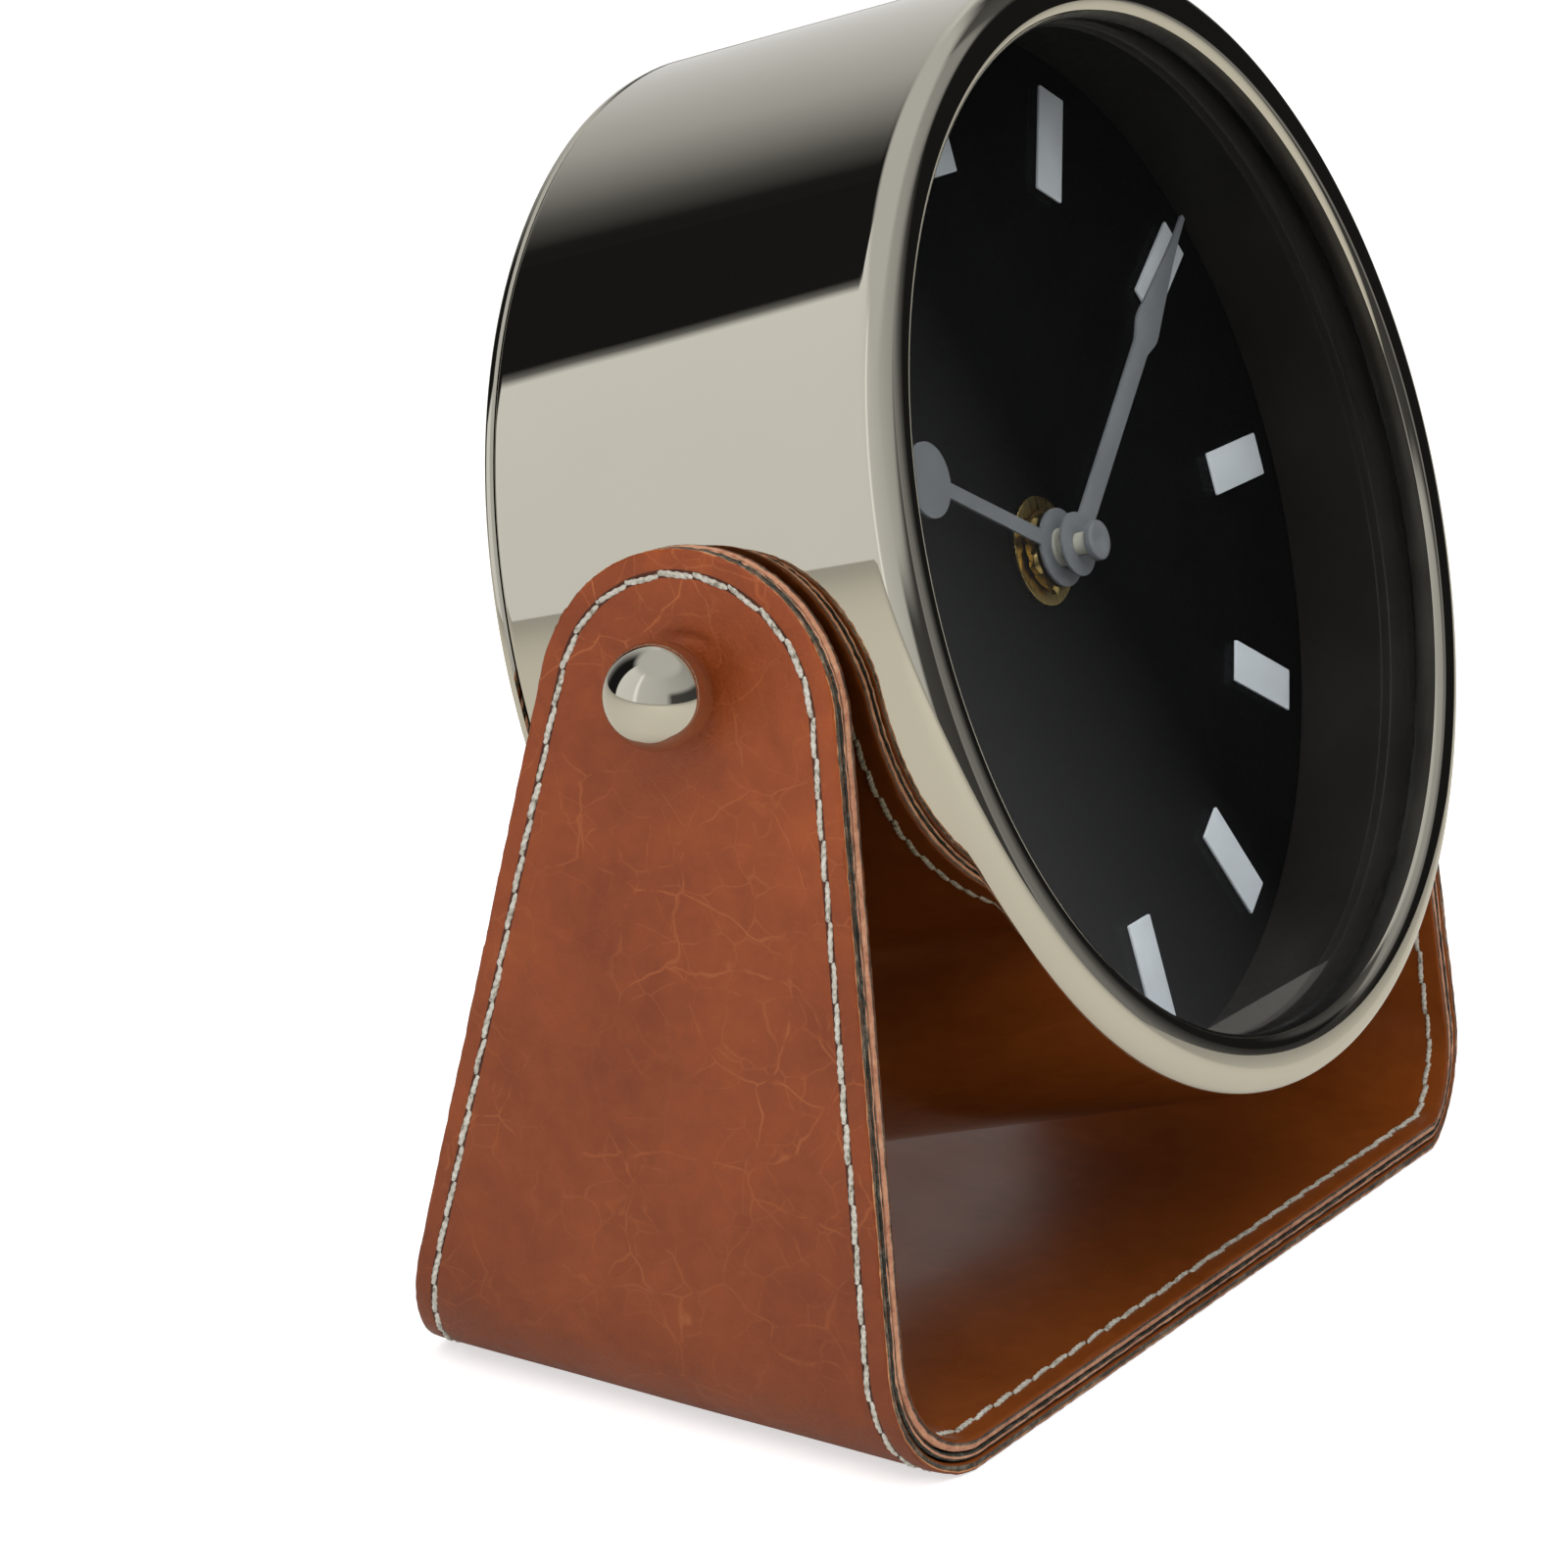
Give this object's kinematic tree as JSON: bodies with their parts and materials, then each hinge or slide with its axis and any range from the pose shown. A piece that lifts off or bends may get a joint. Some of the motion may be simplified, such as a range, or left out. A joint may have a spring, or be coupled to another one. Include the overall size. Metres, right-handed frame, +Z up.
{
  "type": "desk clock",
  "caption": "Round drum-shaped quartz desk clock that tilts on ball-knob pivots between the arms of a stitched leather U-shaped stand.",
  "frame": {"origin": "centre of the bounding box at the level of the table, under the pivot axis", "axes": "+Z up, the dial faces -Y and leans back, +X to the right of someone reading the dial"},
  "size_m": [0.1876, 0.104, 0.1763],
  "materials": {
    "nickel": "polished warm nickel plate, mirror gloss",
    "glass": "clear flat glass",
    "black_paint": "matt black",
    "white_paint": "satin white",
    "grey_paint": "satin grey",
    "tan_leather": "glazed tan saddle leather with fine creases",
    "fibre_core": "dark pressed fibre, cut edge showing",
    "brass": "bright turned brass",
    "steel": "plain zinc-plated steel",
    "black_plastic": "moulded black plastic",
    "gear_plastic": "pale moulded gear plastic",
    "rubber": "black rubber",
    "copper_wire": "enamelled copper winding",
    "circuit_board": "green solder mask",
    "cell_wrap": "plain dark wrapped cell"
  },
  "bodies": {
    "stand": {"stand_outer_leather": "tan_leather", "stand_core": "fibre_core", "stand_inner_leather": "tan_leather"},
    "head": {"case_drum": "nickel", "back_cover": "nickel", "front_glass": "glass", "inner_sleeve": "black_paint", "dial": "black_paint", "hour_mark_01": "white_paint", "hour_mark_02": "white_paint", "hour_mark_03": "white_paint", "hour_mark_04": "white_paint", "hour_mark_05": "white_paint", "hour_mark_06": "white_paint", "hour_mark_07": "white_paint", "hour_mark_08": "white_paint", "hour_mark_09": "white_paint", "hour_mark_10": "white_paint", "hour_mark_11": "white_paint", "hour_mark_12": "white_paint", "threaded_bush": "brass", "dial_washer": "brass", "dial_nut": "brass", "rubber_washer": "rubber", "movement_case": "black_plastic", "movement_lid": "black_plastic", "train_bridge": "black_plastic", "stator": "steel", "motor_coil": "copper_wire", "circuit_board": "circuit_board", "quartz_crystal": "steel", "cell": "cell_wrap", "cell_contact_minus": "brass", "cell_contact_plus": "brass", "pivot_stud_left": "steel", "pivot_stud_right": "steel", "pivot_nut_left": "steel", "pivot_nut_right": "steel", "pivot_washer_left": "black_plastic", "pivot_washer_right": "black_plastic"},
    "minute_arbor": {"centre_wheel": "gear_plastic", "minute_hand": "grey_paint", "hand_nut": "grey_paint"},
    "hour_tube": {"hour_wheel": "gear_plastic", "hour_hand": "grey_paint"},
    "minute_wheel_arbor": {"minute_wheel": "gear_plastic"},
    "third_wheel_arbor": {"third_wheel": "gear_plastic"},
    "rotor": {"step_rotor": "steel"},
    "set_knob": {"time_set_knob": "black_plastic"},
    "left_knob": {"ball_knob_left": "nickel"},
    "right_knob": {"ball_knob_right": "nickel"}
  },
  "joints": [
    {"name": "head_tilt", "type": "hinge", "parent": "stand", "child": "head", "pos_m": [0, 0, 0.0966], "axis": [-1, 0, 0], "continuous": true},
    {"name": "minute_hand_turn", "type": "hinge", "parent": "head", "child": "minute_arbor", "pos_m": [0, 0, 0.0966], "axis": [0, 0.9464, -0.3231], "continuous": true},
    {"name": "hour_hand_turn", "type": "hinge", "parent": "head", "child": "hour_tube", "pos_m": [0, 0, 0.0966], "axis": [0, 0.9464, -0.3231], "continuous": true},
    {"name": "minute_wheel_turn", "type": "hinge", "parent": "head", "child": "minute_wheel_arbor", "pos_m": [-0.0096, 0, 0.0966], "axis": [0, 0.9464, -0.3231], "continuous": true},
    {"name": "third_wheel_turn", "type": "hinge", "parent": "head", "child": "third_wheel_arbor", "pos_m": [0.00601, 0.00194, 0.10229], "axis": [0, 0.9464, -0.3231], "continuous": true},
    {"name": "rotor_turn", "type": "hinge", "parent": "head", "child": "rotor", "pos_m": [0.01161, 0.00375, 0.10759], "axis": [0, 0.9464, -0.3231], "continuous": true},
    {"name": "set_knob_turn", "type": "hinge", "parent": "head", "child": "set_knob", "pos_m": [-0.015, 0.00302, 0.10545], "axis": [0, 0.9464, -0.3231], "continuous": true},
    {"name": "left_knob_turn", "type": "hinge", "parent": "head", "child": "left_knob", "pos_m": [-0.0871, 0, 0.0966], "axis": [-1, 0, 0], "continuous": true},
    {"name": "right_knob_turn", "type": "hinge", "parent": "head", "child": "right_knob", "pos_m": [0.0871, 0, 0.0966], "axis": [1, 0, 0], "continuous": true}
  ],
  "couplings": [
    {"joint": "hour_hand_turn", "follows": "minute_hand_turn", "ratio": 0.083333},
    {"joint": "minute_wheel_turn", "follows": "minute_hand_turn", "ratio": -0.33333},
    {"joint": "third_wheel_turn", "follows": "minute_hand_turn", "ratio": -7.5},
    {"joint": "rotor_turn", "follows": "minute_hand_turn", "ratio": 60},
    {"joint": "set_knob_turn", "follows": "minute_hand_turn", "ratio": 0.66667}
  ]
}
